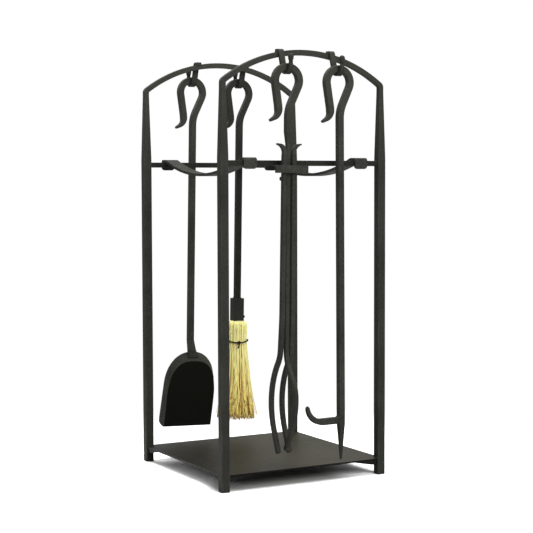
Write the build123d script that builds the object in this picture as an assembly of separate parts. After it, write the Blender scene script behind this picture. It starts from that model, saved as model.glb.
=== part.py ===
from build123d import *
import math
import os

# Fireplace tool set: a square rack of forged bar with a cradle, a tray and four hanging tools.
# Units are millimetres. The origin is on the floor at the centre of the footprint,
# +Z is up, +X is right as seen from the front, and the front faces -Y.

# Rack footprint and posts
RACK_WIDTH = 331.5
POST_SIZE = 15.0
POST_TOP_SIZE = 9.5
POST_EDGE = 1.0
POST_FOOT_CHAMFER = 0.9
TAPER_START_Z = 572.0
POST_TOP_Z = 690.0
POST_AXIS = (RACK_WIDTH - POST_SIZE) / 2
POST_INNER = RACK_WIDTH / 2 - POST_SIZE

# Arches that close the front and rear frames
ARCH_BAR = 9.5
ARCH_CROWN_Z = 759.0
ARCH_RADIUS = 264.0
SHOULDER_RADIUS = 6.0

# Cross rails and the two straps of the cradle, which sag between them
RAIL_BAR = 9.5
RAIL_Z = 563.0
STRAP_WIDTH = 25.4
STRAP_THICK = 5.0
STRAP_X = 111.5
STRAP_SHIFT = 1.5
STRAP_TAB_LOW_Z = 553.0
STRAP_SAG_RADIUS = 440.0
STRAP_CORNER = 6.5

# Tray with its corner gussets
TRAY_HALF = 163.5
TRAY_TOP_Z = 29.5
TRAY_THICK = 3.0
GUSSET_LEG = 46.0
GUSSET_DEEP = 7.5
GUSSET_THIN = 0.8

# Tool hooks
HOOK_SPACING = 102.0
FRONT_HOOK_SHIFT = 2.5
REAR_HOOK_SHIFT = 1.6
HOOK_WIDTH = 11.0
HOOK_THICK = 4.8
HOOK_BEND = 4.4
HOOK_SLANT = 74.0
HOOK_VALLEY_RADIUS = 13.25
HOOK_VALLEY_Z = 718.7
HOOK_STEM_RISE = 9.0
HOOK_STEM_WIDTH = 5.5
HOOK_KNOB_RADIUS = 4.7

# Forged tool bar and the crook at its top
TOOL_BAR = 11.5
TOOL_EDGE = 1.2
CROOK_RADIUS = 23.5
CROOK_NECK_RADIUS = 58.0
CROOK_NECK_TURN = 25.0
CROOK_NECK_RUN = 30.8
CROOK_LIMB_LEAN = 9.0
CROOK_LIMB_RUN = 38.0
CROOK_LIMB_BEND = 60.0
CROOK_BEAK_RADIUS = 16.0
CROOK_BEAK_TURN = 62.0
CROOK_BEAK_RUN = 8.5
CROOK_BEAK_THICK = 4.2
CROOK_BEAK_WIDTH = 8.0
CROOK_UNDERSIDE_Z = 721.0

# Poker
POKER_LEAN = -0.26
POKER_POINT_TOP_Z = 105.0
POKER_TIP_Z = 41.0
POKER_TIP_SIZE = 3.5
POKER_HOOK_Z = 111.0
POKER_HOOK_RUN = 33.0
POKER_HOOK_RADIUS = 29.5
POKER_HOOK_TURN = 84.0
POKER_HOOK_TIP = 6.5

# Shovel
SHOVEL_LEAN = 1.05
PAN_APEX_Z = 182.9
PAN_APEX_Y = -11.0
PAN_SHIFT_X = 3.6
PAN_ROLL = 1.5
PAN_TILT = 9.0
PAN_LENGTH = 131.0
PAN_HALF_WIDTH = 50.8
PAN_LIP_HALF_WIDTH = 50.6
PAN_HEAD_LENGTH = 83.2
PAN_HEAD_SQUARENESS = 2.75
PAN_RIM_HALF_WIDTH = 54.0
PAN_RIM_LIP_HALF_WIDTH = 56.9
PAN_RIM_HEAD_LENGTH = 68.4
PAN_RIM_HEAD_SQUARENESS = 2.2
PAN_RIM_RISE = 15.6
PAN_DEPTH = 14.0
PAN_SHEET = 2.0
PAN_LIP_RADIUS = 13.0
NECK_TOP_Z = 224.0
NECK_MIDDLE_Z = 206.0
NECK_LOW_Z = 190.5
NECK_MIDDLE_WIDTH = 14.0
NECK_WIDTH = 22.0
NECK_DEPTH = 6.5
NECK_MIDDLE_SET = (0.6, -4.6)
NECK_SET = (3.6, -5.5)

# Brush
BRUSH_LEAN = 1.05
FERRULE_SIZE = 21.0
FERRULE_WALL = 1.8
FERRULE_TOP_Z = 301.0
FERRULE_LOW_Z = 256.0
SCREW_Y = -5.0
SCREW_Z = 264.5
SCREW_RADIUS = 1.3
SCREW_LENGTH = 7.0
SCREW_HEAD_RADIUS = 3.0
SCREW_HEAD_RISE = 3.8
BUNDLE_RADIUS = 20.6
BUNDLE_SLICE = 5.0
BRISTLE_LOW_Z = 62.0
TWINE_Z = 216.4
TWINE_RADIUS = 1.2
KNOT_RADIUS = 2.2
TAIL_LENGTH = 9.0
STRAND_COUNT = 380
STRAND_TOP = 0.55
STRAND_TIP = 0.95
SPLAY = 1.92

# Tongs
TONGS_LEAN = 0.65
TINE_BAR = 7.5
JAW_BAR = 8.0
TINE_EDGE = 1.2
LEFT_ROD_X = -8.45
LEFT_ROD_SPLAY = 0.35
RIGHT_ROD_X = 10.0
RIGHT_ROD_SPLAY = 0.05
JAW_ROD_Y = -2.0
DRAW_TOP_Z = 616.0
DRAW_LOW_Z = 595.0
CROSSBAR_LENGTH = 63.0
CROSSBAR_HEIGHT = 13.5
CROSSBAR_THICK = 5.0
CROSSBAR_X = 3.3
CROSSBAR_Z = 552.5
PIVOT_Y = -1.0
PIVOT_Z = 536.0
PIN_RADIUS = 2.0
PIN_CLEARANCE = 0.05
PIN_HEAD_RADIUS = 3.4
PIN_HEAD_THICK = 2.2
FRONT_BOW_Z = 240.0
FRONT_OUT_RADIUS = 50.0
FRONT_OUT_TURN = 38.5
FRONT_RUN = 17.0
FRONT_IN_RADIUS = 60.0
FRONT_CLOSE_RADIUS = 110.0
FRONT_CLOSE_TURN = 28.0
FRONT_TIP_RUN = 42.0
REAR_BOW_Z = 308.0
REAR_EASE_RADIUS = 300.0
REAR_EASE_TURN = 4.0
REAR_RUN = 45.0
REAR_OUT_RADIUS = 50.0
REAR_OUT_TURN = 31.0
REAR_CLOSE_RADIUS = 118.0
REAR_CLOSE_TURN = 58.5
REAR_TIP_RUN = 41.5
LEAF_START_Z = 575.0
LEAF_RISE = 8.5
LEAF_RADIUS = 10.5
LEAF_TURN = 80.0
LEAF_RUN = 6.0
LEAF_TIP = 2.6
LEAF_WIDTH = 6.0

# The hanging plane of the tools is where the hooks' valleys are lowest.
strap_top_z = ARCH_CROWN_Z - ARCH_RADIUS - ARCH_BAR / 2
strap_top_z += math.sqrt((ARCH_RADIUS + ARCH_BAR / 2) ** 2 - HOOK_SPACING**2 / 4) + HOOK_THICK / 2
slant = math.radians(HOOK_SLANT)
hook_drop_y = POST_AXIS + ARCH_BAR / 2 - 2.0 + HOOK_BEND * math.sin(slant)
hook_drop_z = strap_top_z - HOOK_BEND * (1 - math.cos(slant))
valley_start_z = HOOK_VALLEY_Z - HOOK_THICK / 2 + HOOK_VALLEY_RADIUS * (1 - math.cos(slant))
hook_drop_run = (hook_drop_z - valley_start_z) / math.sin(slant)
HANG_Y = hook_drop_y + hook_drop_run * math.cos(slant) + HOOK_VALLEY_RADIUS * math.sin(slant)


def bent_path(plane, start, heading, moves):
    """A path of straight runs and tangent bends in a plane, as a bar is bent on an anvil."""
    edges = []
    point = Vector(*start)
    angle = heading
    for move in moves:
        tangent = (math.cos(math.radians(angle)), math.sin(math.radians(angle)))
        if len(move) == 1:
            edge = Line(point, point + Vector(*tangent) * move[0])
        else:
            edge = JernArc(point, tangent, move[0], move[1])
            angle += move[1]
        edges.append(edge)
        point = edge @ 1
    return plane.from_local_coords(Wire(edges))


def section_at(path, place, plane, across, deep, edge):
    """A rounded bar section square to the path; across lies in the plane, deep along its normal."""
    cut = Plane(origin=path @ place, x_dir=plane.z_dir, z_dir=path % place)
    return cut * RectangleRounded(deep, across, edge)


def bar_along(path, plane, across, deep, edge):
    """A bar of one section along a bent path."""
    return sweep(section_at(path, 0, plane, across, deep, edge), path=path)


def drawn_along(path, plane, first, last):
    """A bar that is drawn down from its first section to its last, each (across, deep, edge)."""
    sections = [section_at(path, 0, plane, *first), section_at(path, 1, plane, *last)]
    return sweep(sections, path=path, multisection=True)


def one_solid(shape):
    """The shape as a single solid, so that a piece never leaves as loose bits."""
    solids = shape.solids()
    assert len(solids) == 1, len(solids)
    return solids[0]


pieces = {}

# Posts: square bar, chamfered at the foot and drawn thinner above the cross rail.
post_section = RectangleRounded(POST_SIZE, POST_SIZE, POST_EDGE)
post_low = extrude(post_section, TAPER_START_Z)
post_low = chamfer(post_low.faces().sort_by(Axis.Z)[0].edges(), POST_FOOT_CHAMFER)
post_high = loft(
    [
        Pos(0, 0, TAPER_START_Z) * post_section,
        Pos(0, 0, POST_TOP_Z) * RectangleRounded(POST_TOP_SIZE, POST_TOP_SIZE, POST_EDGE),
    ],
    ruled=True,
)
post = one_solid(post_low + post_high)
for side, sx in (("left", -1), ("right", 1)):
    for face, sy in (("front", -1), ("rear", 1)):
        pieces[f"{face}_{side}_post"] = Pos(sx * POST_AXIS, sy * POST_AXIS, 0) * post

# Arches: bar that leaves each post straight up, bends in at the shoulder and crosses in one long arc.
arch_centre_z = ARCH_CROWN_Z - ARCH_BAR / 2 - ARCH_RADIUS
shoulder_rise = math.sqrt((ARCH_RADIUS - SHOULDER_RADIUS) ** 2 - (POST_AXIS - SHOULDER_RADIUS) ** 2)
shoulder_turn = math.degrees(math.atan2(shoulder_rise, POST_AXIS - SHOULDER_RADIUS))
crown_turn = 180 - 2 * shoulder_turn
arch_path = bent_path(
    Plane.XZ,
    (-POST_AXIS, POST_TOP_Z),
    90,
    [
        (arch_centre_z + shoulder_rise - POST_TOP_Z,),
        (SHOULDER_RADIUS, -shoulder_turn),
        (ARCH_RADIUS, -crown_turn),
        (SHOULDER_RADIUS, -shoulder_turn),
        (arch_centre_z + shoulder_rise - POST_TOP_Z,),
    ],
)
arch = one_solid(bar_along(arch_path, Plane.XZ, ARCH_BAR, ARCH_BAR, POST_EDGE))
pieces["front_arch"] = Pos(0, -POST_AXIS, 0) * arch
pieces["rear_arch"] = Pos(0, POST_AXIS, 0) * arch

# Cross rails: straight bars welded between the posts of each frame.
rail = extrude(Plane.YZ * RectangleRounded(RAIL_BAR, RAIL_BAR, POST_EDGE), POST_INNER, both=True)
pieces["front_rail"] = Pos(0, -POST_AXIS, RAIL_Z) * rail
pieces["rear_rail"] = Pos(0, POST_AXIS, RAIL_Z) * rail

# Cradle straps: flat bar whose ends fold down over the rails and whose middle sags between them.
tab_y = POST_AXIS + RAIL_BAR / 2 + STRAP_THICK / 2
strap_fold = STRAP_THICK / 2 + 1.0
strap_z = RAIL_Z + RAIL_BAR / 2 + STRAP_THICK / 2
sag_bend = 12.0
flat_run = tab_y - strap_fold - (POST_AXIS - RAIL_BAR / 2 - 1.0)
sag_half = POST_AXIS - RAIL_BAR / 2 - 1.0
sag_turn = math.degrees(math.asin(sag_half / (STRAP_SAG_RADIUS + sag_bend)))
strap_path = bent_path(
    Plane.YZ,
    (-tab_y, STRAP_TAB_LOW_Z),
    90,
    [
        (strap_z - strap_fold - STRAP_TAB_LOW_Z,),
        (strap_fold, -90),
        (flat_run,),
        (sag_bend, -sag_turn),
        (STRAP_SAG_RADIUS, 2 * sag_turn),
        (sag_bend, -sag_turn),
        (flat_run,),
        (strap_fold, -90),
        (strap_z - strap_fold - STRAP_TAB_LOW_Z,),
    ],
)
strap_cut = Plane(origin=strap_path @ 0, x_dir=(1, 0, 0), z_dir=strap_path % 0)
strap = sweep(strap_cut * Rectangle(STRAP_WIDTH, STRAP_THICK), path=strap_path)
tab_corners = strap.edges().filter_by(Axis.Y).group_by(Axis.Z)[0]
strap = one_solid(fillet(tab_corners, STRAP_CORNER))
pieces["left_cradle_strap"] = Pos(STRAP_SHIFT - STRAP_X, 0, 0) * strap
pieces["right_cradle_strap"] = Pos(STRAP_SHIFT + STRAP_X, 0, 0) * strap

# Tray: one flat plate, notched at its corners to sit against the posts.
tray_sheet = Rectangle(2 * TRAY_HALF, 2 * TRAY_HALF)
notch = TRAY_HALF - POST_INNER
for sx in (-1, 1):
    for sy in (-1, 1):
        tray_sheet -= Pos(sx * (TRAY_HALF - notch / 2), sy * (TRAY_HALF - notch / 2)) * Rectangle(notch, notch)
tray_low_z = TRAY_TOP_Z - TRAY_THICK
pieces["tray"] = one_solid(Pos(0, 0, tray_low_z) * extrude(tray_sheet, TRAY_THICK))

# Tray gussets: wedges under the corners, deep at the post and thin towards the middle of the tray.
gusset_edge = TRAY_HALF - 1.0
gusset_outline = [
    (POST_INNER, POST_INNER),
    (POST_INNER, gusset_edge),
    (POST_INNER - GUSSET_LEG, gusset_edge),
    (gusset_edge, POST_INNER - GUSSET_LEG),
    (gusset_edge, POST_INNER),
]
gusset = extrude(make_face(Polyline(*gusset_outline, close=True)), -GUSSET_DEEP)
hypotenuse_middle = (POST_INNER - GUSSET_LEG + gusset_edge) / 2
wedge_drop = GUSSET_DEEP - GUSSET_THIN
wedge_length = (POST_INNER - hypotenuse_middle) * math.sqrt(2)
under_slope = Plane(
    origin=(hypotenuse_middle, hypotenuse_middle, -GUSSET_THIN),
    x_dir=(1, -1, 0),
    z_dir=(wedge_drop / math.sqrt(2), wedge_drop / math.sqrt(2), wedge_length),
)
gusset = one_solid(split(gusset, bisect_by=under_slope, keep=Keep.TOP))
for corner, turn in (("rear_right", 0), ("rear_left", 90), ("front_left", 180), ("front_right", 270)):
    pieces[f"{corner}_tray_gusset"] = Pos(0, 0, tray_low_z) * Rot(0, 0, turn) * gusset

# Tool hooks: flat bar laid over the arch, bent down its face, curled up to a stem and a rolled knob.
# The path is drawn for a rear hook, where +Y is outwards, and mirrored for the front.
hook_path = bent_path(
    Plane.YZ,
    (POST_AXIS - ARCH_BAR / 2, strap_top_z),
    0,
    [
        (ARCH_BAR - 2.0,),
        (HOOK_BEND, -HOOK_SLANT),
        (hook_drop_run,),
        (HOOK_VALLEY_RADIUS, HOOK_SLANT),
    ],
)
stem_path = bent_path(
    Plane.YZ,
    (HANG_Y, HOOK_VALLEY_Z - HOOK_THICK / 2),
    0,
    [(HOOK_VALLEY_RADIUS, 90), (HOOK_STEM_RISE,)],
)
strap_section = (HOOK_THICK, HOOK_WIDTH, 0.8)
hook = bar_along(hook_path, Plane.YZ, *strap_section)
hook += drawn_along(stem_path, Plane.YZ, strap_section, (HOOK_THICK, HOOK_STEM_WIDTH, 0.8))
knob_centre = stem_path @ 1
hook += Pos(0, knob_centre.Y, knob_centre.Z + 1.5) * Sphere(HOOK_KNOB_RADIUS)
hook_places = {}
for side, sx in (("left", -1), ("right", 1)):
    hook_places[f"rear_{side}"] = (REAR_HOOK_SHIFT + sx * HOOK_SPACING / 2, HANG_Y)
    hook_places[f"front_{side}"] = (FRONT_HOOK_SHIFT + sx * HOOK_SPACING / 2, -HANG_Y)
    rear_hook = Pos(hook_places[f"rear_{side}"][0], 0, 0) * hook
    front_hook = Pos(hook_places[f"front_{side}"][0], 0, 0) * mirror(hook, about=Plane.XZ)
    pieces[f"rear_{side}_tool_hook"] = one_solid(rear_hook - pieces["rear_arch"])
    pieces[f"front_{side}_tool_hook"] = one_solid(front_hook - pieces["front_arch"])

# Crook: every tool has the same bent grip, a loop that hangs on the hook and ends in a flared beak.
# Tools are drawn with the shaft on the Z axis, and the crook's top a little to the left of it.
crook_top_z = CROOK_UNDERSIDE_Z + TOOL_BAR / 2
neck_turn = math.radians(CROOK_NECK_TURN)
neck_rise = CROOK_NECK_RADIUS * math.sin(neck_turn) + CROOK_NECK_RUN * math.cos(neck_turn)
neck_shift = CROOK_NECK_RADIUS * (1 - math.cos(neck_turn)) + CROOK_NECK_RUN * math.sin(neck_turn)
crook_centre_x = neck_shift - CROOK_RADIUS * math.cos(neck_turn)
shaft_top_z = crook_top_z - CROOK_RADIUS - CROOK_RADIUS * math.sin(neck_turn) - neck_rise
bar_section = (TOOL_BAR, TOOL_BAR, TOOL_EDGE)
beak_section = (CROOK_BEAK_THICK, CROOK_BEAK_WIDTH, 1.0)


def crook_bar(low_z):
    """The forged bar of one tool: straight shaft from low_z, neck, loop, limb and beak."""
    loop_path = bent_path(
        Plane.XZ,
        (0, low_z),
        90,
        [
            (shaft_top_z - low_z,),
            (CROOK_NECK_RADIUS, -CROOK_NECK_TURN),
            (CROOK_NECK_RUN,),
            (CROOK_RADIUS, CROOK_NECK_TURN + 180 + CROOK_LIMB_LEAN),
            (CROOK_LIMB_RUN,),
            (CROOK_LIMB_BEND, -CROOK_LIMB_LEAN),
        ],
    )
    limb_end = loop_path @ 1
    beak_path = bent_path(
        Plane.XZ,
        (limb_end.X, limb_end.Z),
        270,
        [(CROOK_BEAK_RADIUS, -CROOK_BEAK_TURN), (CROOK_BEAK_RUN,)],
    )
    bar = bar_along(loop_path, Plane.XZ, *bar_section)
    return bar + drawn_along(beak_path, Plane.XZ, bar_section, beak_section)


def hang(shape, hook_name, lean):
    """A tool piece on its hook: the crook's top over the hook, swung by its lean about the hook."""
    x, y = hook_places[hook_name]
    swing = Rot(0, lean, 0) * Pos(-crook_centre_x, 0, -CROOK_UNDERSIDE_Z)
    return Pos(x, y, CROOK_UNDERSIDE_Z) * swing * shape


# Poker: the shaft is drawn to a blunt point, and a curled hook is welded to its side.
poker_point = loft(
    [
        Pos(0, 0, POKER_TIP_Z) * RectangleRounded(POKER_TIP_SIZE, POKER_TIP_SIZE, 1.0),
        Pos(0, 0, POKER_POINT_TOP_Z) * RectangleRounded(TOOL_BAR, TOOL_BAR, TOOL_EDGE),
    ],
    ruled=True,
)
poker_bar = one_solid(crook_bar(POKER_POINT_TOP_Z) + poker_point)
arm_path = bent_path(Plane.XZ, (-TOOL_BAR / 2, POKER_HOOK_Z), 180, [(POKER_HOOK_RUN,)])
curl_path = bent_path(
    Plane.XZ,
    (-TOOL_BAR / 2 - POKER_HOOK_RUN, POKER_HOOK_Z),
    180,
    [(POKER_HOOK_RADIUS, -POKER_HOOK_TURN)],
)
curl_tip = curl_path @ 1
poker_hook = bar_along(arm_path, Plane.XZ, *bar_section)
poker_hook += drawn_along(curl_path, Plane.XZ, bar_section, (POKER_HOOK_TIP, POKER_HOOK_TIP, 1.2))
poker_hook += Pos(curl_tip.X, 0, curl_tip.Z) * Sphere(POKER_HOOK_TIP / 2)
pieces["poker_bar"] = hang(poker_bar, "front_right", POKER_LEAN)
pieces["poker_side_hook"] = hang(one_solid(poker_hook), "front_right", POKER_LEAN)

# Shovel pan: pressed sheet whose arched back wall and sides lean out, with an open lip.
tilt = math.radians(PAN_TILT)
pan_plane = Plane(
    origin=(0, PAN_APEX_Y, PAN_APEX_Z),
    x_dir=(-1, 0, 0),
    z_dir=(0, math.cos(tilt), math.sin(tilt)),
)


def pan_outline(half_width, lip_half, head, squareness, rise, lip, depth):
    """An outline in the pan's own plane at a depth behind its floor: a head like a squared ellipse over
    sides that run straight to the lip."""
    spring = rise - head
    crown = []
    for step in range(13):
        angle = math.radians(15 * step)
        across = abs(math.cos(angle)) ** (2 / squareness)
        along = math.sin(angle) ** (2 / squareness)
        crown.append((math.copysign(half_width * across, 90 - 15 * step), spring + head * along))
    crown[0] = (half_width, spring)
    crown[6] = (0, rise)
    crown[12] = (-half_width, spring)
    head_edge = Spline(*crown, tangents=[(0, 1), (0, -1)])
    sides = Polyline((-half_width, spring), (-lip_half, lip), (lip_half, lip), (half_width, spring))
    return pan_plane.offset(depth) * make_face(sides + head_edge)


def pan_shell(inset, lip, floor_depth, rim_depth):
    """The pan's body between its floor and its rim, drawn in by an inset."""
    floor_outline = pan_outline(
        PAN_HALF_WIDTH - inset, PAN_LIP_HALF_WIDTH - inset, PAN_HEAD_LENGTH - inset, PAN_HEAD_SQUARENESS,
        -inset, lip, floor_depth,
    )
    rim_outline = pan_outline(
        PAN_RIM_HALF_WIDTH - inset, PAN_RIM_LIP_HALF_WIDTH - inset, PAN_RIM_HEAD_LENGTH - inset,
        PAN_RIM_HEAD_SQUARENESS, PAN_RIM_RISE - inset, lip, rim_depth,
    )
    return loft([floor_outline, rim_outline], ruled=True)


pan_block = pan_shell(0, -PAN_LENGTH, 0, PAN_DEPTH)
pan_hollow = pan_shell(PAN_SHEET, -PAN_LENGTH - 20, PAN_SHEET, PAN_DEPTH + 1)
lip_corner = Pos(0, -PAN_LENGTH, PAN_DEPTH) * Box(200, 2 * PAN_LIP_RADIUS, 2 * PAN_LIP_RADIUS)
lip_round = Pos(0, PAN_LIP_RADIUS - PAN_LENGTH, PAN_DEPTH - PAN_LIP_RADIUS)
lip_corner -= lip_round * Rot(0, 90, 0) * Cylinder(PAN_LIP_RADIUS, 220)
shovel_pan = one_solid(pan_block - pan_hollow - pan_plane.location * lip_corner)
pan_set = Pos(PAN_SHIFT_X, 0, PAN_APEX_Z) * Rot(0, PAN_ROLL, 0) * Pos(0, 0, -PAN_APEX_Z)
shovel_pan = pan_set * shovel_pan

# Shovel handle: the shaft spreads to a flat fishtail that is welded to the pan's leaning back wall.
fishtail = loft(
    [
        Pos(*NECK_SET, NECK_LOW_Z) * RectangleRounded(NECK_WIDTH, NECK_DEPTH, TOOL_EDGE),
        Pos(*NECK_MIDDLE_SET, NECK_MIDDLE_Z) * RectangleRounded(NECK_MIDDLE_WIDTH, TOOL_BAR, TOOL_EDGE),
        Pos(0, 0, NECK_TOP_Z) * RectangleRounded(TOOL_BAR, TOOL_BAR, TOOL_EDGE),
    ],
    ruled=True,
)
shovel_handle = (crook_bar(NECK_TOP_Z) + fishtail) - pan_set * pan_block
pieces["shovel_handle"] = hang(one_solid(shovel_handle), "rear_left", SHOVEL_LEAN)
pieces["shovel_pan"] = hang(shovel_pan, "rear_left", SHOVEL_LEAN)

# Brush handle and ferrule: the shaft is welded to the closed top of a square socket.
ferrule = Pos(0, 0, FERRULE_LOW_Z) * extrude(
    RectangleRounded(FERRULE_SIZE, FERRULE_SIZE, 1.2), FERRULE_TOP_Z - FERRULE_LOW_Z
)
socket_size = FERRULE_SIZE - 2 * FERRULE_WALL
socket_top_z = FERRULE_TOP_Z - 3.0
ferrule -= Pos(0, 0, FERRULE_LOW_Z) * extrude(Rectangle(socket_size, socket_size), socket_top_z - FERRULE_LOW_Z)
screw_bore = Pos(FERRULE_SIZE / 2, SCREW_Y, SCREW_Z) * Rot(0, 90, 0) * Cylinder(SCREW_RADIUS, 2 * SCREW_LENGTH)
ferrule = one_solid(ferrule - screw_bore)
pieces["brush_handle"] = hang(one_solid(crook_bar(FERRULE_TOP_Z)), "rear_right", BRUSH_LEAN)
pieces["brush_ferrule"] = hang(ferrule, "rear_right", BRUSH_LEAN)

# Ferrule screw: a round head outside the socket and a shank into the straw.
screw_seat = Pos(FERRULE_SIZE / 2, SCREW_Y, SCREW_Z)
screw_head = screw_seat * Rot(0, 90, 0) * extrude(Circle(SCREW_HEAD_RADIUS), SCREW_HEAD_RISE)
screw_head = fillet(screw_head.faces().sort_by(Axis.X)[-1].edges(), SCREW_HEAD_RADIUS * 0.6)
screw = screw_head + screw_seat * Rot(0, -90, 0) * extrude(Circle(SCREW_RADIUS), SCREW_LENGTH)
pieces["ferrule_screw"] = hang(one_solid(screw), "rear_right", BRUSH_LEAN)

# Bristles: broom straw that leaves a packed slice under the socket, is drawn in by the twine
# and then splays. Strands keep their order at every level, so none crosses another.
bundle_low_z = FERRULE_LOW_Z - BUNDLE_SLICE
plug_height = 22.0
plug = Pos(0, 0, FERRULE_LOW_Z) * extrude(Rectangle(socket_size, socket_size), plug_height)
plug -= screw_bore
bundle = Pos(0, 0, bundle_low_z) * extrude(Circle(BUNDLE_RADIUS), BUNDLE_SLICE)
golden_turn = math.radians(137.508)
pack_radius = BUNDLE_RADIUS - STRAND_TOP
waist = 0.97


def strand_section(x, y, z, radius, turn):
    """A three-sided straw section lying level."""
    return Pos(x, y, z) * Rot(0, 0, turn) * RegularPolygon(radius, 3)


strands = []
for index in range(STRAND_COUNT):
    reach = pack_radius * math.sqrt((index + 0.5) / STRAND_COUNT)
    bearing = index * golden_turn
    x = reach * math.cos(bearing)
    y = reach * math.sin(bearing)
    turn = math.degrees(bearing)
    tip_z = BRISTLE_LOW_Z + 7.0 * (index * 0.381966 % 1.0)
    levels = [
        strand_section(x, y, bundle_low_z, STRAND_TOP, turn),
        strand_section(waist * x, waist * y, TWINE_Z, STRAND_TOP, turn),
        strand_section(SPLAY * x, SPLAY * y, tip_z, STRAND_TIP, turn),
    ]
    strands.append(loft(levels, ruled=True))
bristles = one_solid((bundle + plug).fuse(*strands))
pieces["bristles"] = hang(bristles, "rear_right", BRUSH_LEAN)

# Binding twine: one turn drawn tight round the straw, with a knot and a short tail on the front.
twine_ring = waist * BUNDLE_RADIUS + TWINE_RADIUS + 0.35
knot_angle = math.radians(-106)
knot = (twine_ring * math.cos(knot_angle), twine_ring * math.sin(knot_angle), TWINE_Z)
tail_heading = (0.3 * math.cos(knot_angle), 0.3 * math.sin(knot_angle), -1)
twine = Pos(0, 0, TWINE_Z) * Torus(twine_ring, TWINE_RADIUS)
twine += Pos(*knot) * Rot(0, 0, 30) * Sphere(KNOT_RADIUS)
twine += Plane(origin=knot, z_dir=tail_heading) * extrude(Circle(TWINE_RADIUS * 0.9), TAIL_LENGTH)
pieces["binding_twine"] = hang(one_solid(twine), "rear_right", BRUSH_LEAN)

# Tongs handle: below the crook the bar is drawn down to a tine that bows to the front and closes at the tip.


def tine(top_z, size, moves):
    """A square tine that hangs from top_z along its bends; a positive turn is towards the rear."""
    path = bent_path(Plane.YZ, (0, top_z), 270, moves)
    return bar_along(path, Plane.YZ, size, size, TINE_EDGE)


drawn_neck = loft(
    [
        Pos(0, 0, DRAW_LOW_Z) * RectangleRounded(TINE_BAR, TINE_BAR, TINE_EDGE),
        Pos(0, 0, DRAW_TOP_Z) * RectangleRounded(TOOL_BAR, TOOL_BAR, TOOL_EDGE),
    ],
    ruled=True,
)
front_tine = tine(
    DRAW_LOW_Z,
    TINE_BAR,
    [
        (DRAW_LOW_Z - FRONT_BOW_Z,),
        (FRONT_OUT_RADIUS, -FRONT_OUT_TURN),
        (FRONT_RUN,),
        (FRONT_IN_RADIUS, FRONT_OUT_TURN),
        (FRONT_CLOSE_RADIUS, FRONT_CLOSE_TURN),
        (FRONT_TIP_RUN,),
    ],
)
tongs_handle = crook_bar(DRAW_TOP_Z) + drawn_neck + front_tine
pin_hole = Pos(0, PIVOT_Y, PIVOT_Z) * Rot(0, 90, 0) * Cylinder(PIN_RADIUS, 60)
pieces["tongs_handle"] = hang(one_solid(tongs_handle - pin_hole), "front_left", TONGS_LEAN)

# Jaw rods: two rods beside the handle. Each ends in a leaf curled outwards at the top
# and in a tine that bows to the rear at the bottom.
running_hole = Pos(0, PIVOT_Y, PIVOT_Z) * Rot(0, 90, 0) * Cylinder(PIN_RADIUS + PIN_CLEARANCE, 60)
leaf_path = bent_path(
    Plane.XZ, (0, LEAF_START_Z), 90, [(LEAF_RISE,), (LEAF_RADIUS, -LEAF_TURN), (LEAF_RUN,)]
)
leaf = drawn_along(leaf_path, Plane.XZ, (JAW_BAR, JAW_BAR, TINE_EDGE), (LEAF_TIP, LEAF_WIDTH, 0.8))
rear_tine = tine(
    LEAF_START_Z,
    JAW_BAR,
    [
        (LEAF_START_Z - REAR_BOW_Z,),
        (REAR_EASE_RADIUS, REAR_EASE_TURN),
        (REAR_RUN,),
        (REAR_OUT_RADIUS, REAR_OUT_TURN),
        (REAR_CLOSE_RADIUS, -REAR_CLOSE_TURN),
        (REAR_TIP_RUN,),
    ],
)
jaw_rod = Pos(0, 0, -PIVOT_Z) * (leaf + rear_tine)
right_rod = Pos(RIGHT_ROD_X, JAW_ROD_Y, PIVOT_Z) * Rot(0, -RIGHT_ROD_SPLAY, 0) * jaw_rod
left_rod = Pos(LEFT_ROD_X, JAW_ROD_Y, PIVOT_Z) * Rot(0, LEFT_ROD_SPLAY, 0) * mirror(jaw_rod, about=Plane.YZ)
right_rod = one_solid(right_rod - running_hole)
left_rod = one_solid(left_rod - running_hole)
pieces["right_jaw_rod"] = hang(right_rod, "front_left", TONGS_LEAN)
pieces["left_jaw_rod"] = hang(left_rod, "front_left", TONGS_LEAN)

# Tongs crossbar: flat bar across the front of both jaw rods, the grip that is squeezed to the handle.
crossbar = Box(CROSSBAR_LENGTH, CROSSBAR_THICK, CROSSBAR_HEIGHT)
crossbar = fillet(crossbar.edges().filter_by(Axis.Y), 1.5)
crossbar_y = JAW_ROD_Y - JAW_BAR / 2 - CROSSBAR_THICK / 2
pieces["tongs_crossbar"] = hang(Pos(CROSSBAR_X, crossbar_y, CROSSBAR_Z) * crossbar, "front_left", TONGS_LEAN)

# Pivot pin: headed at both ends outside the jaw rods, tight in the handle and free in the rods.
pin_half = (RIGHT_ROD_X - LEFT_ROD_X) / 2 + JAW_BAR / 2 + 0.2
pin_x = (RIGHT_ROD_X + LEFT_ROD_X) / 2
pin = Cylinder(PIN_RADIUS, 2 * pin_half)
for end in (-1, 1):
    pin += Pos(0, 0, end * (pin_half + PIN_HEAD_THICK / 2)) * Cylinder(PIN_HEAD_RADIUS, PIN_HEAD_THICK)
pin = Pos(pin_x, PIVOT_Y, PIVOT_Z) * Rot(0, 90, 0) * one_solid(pin)
pieces["tongs_pivot_pin"] = hang(pin, "front_left", TONGS_LEAN)

os.makedirs("parts", exist_ok=True)
for name, piece in pieces.items():
    export_step(one_solid(piece), f"parts/{name}.step")

pivot = hang(Pos(0, PIVOT_Y, PIVOT_Z) * Box(1, 1, 1), "front_left", TONGS_LEAN).center()
print("hanging plane", round(HANG_Y, 3), "crook offset", round(crook_centre_x, 3))
print("jaw pivot", [round(value, 3) for value in pivot])
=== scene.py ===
import math
import random

import bmesh
import bpy
from mathutils import Matrix, Vector


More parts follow.
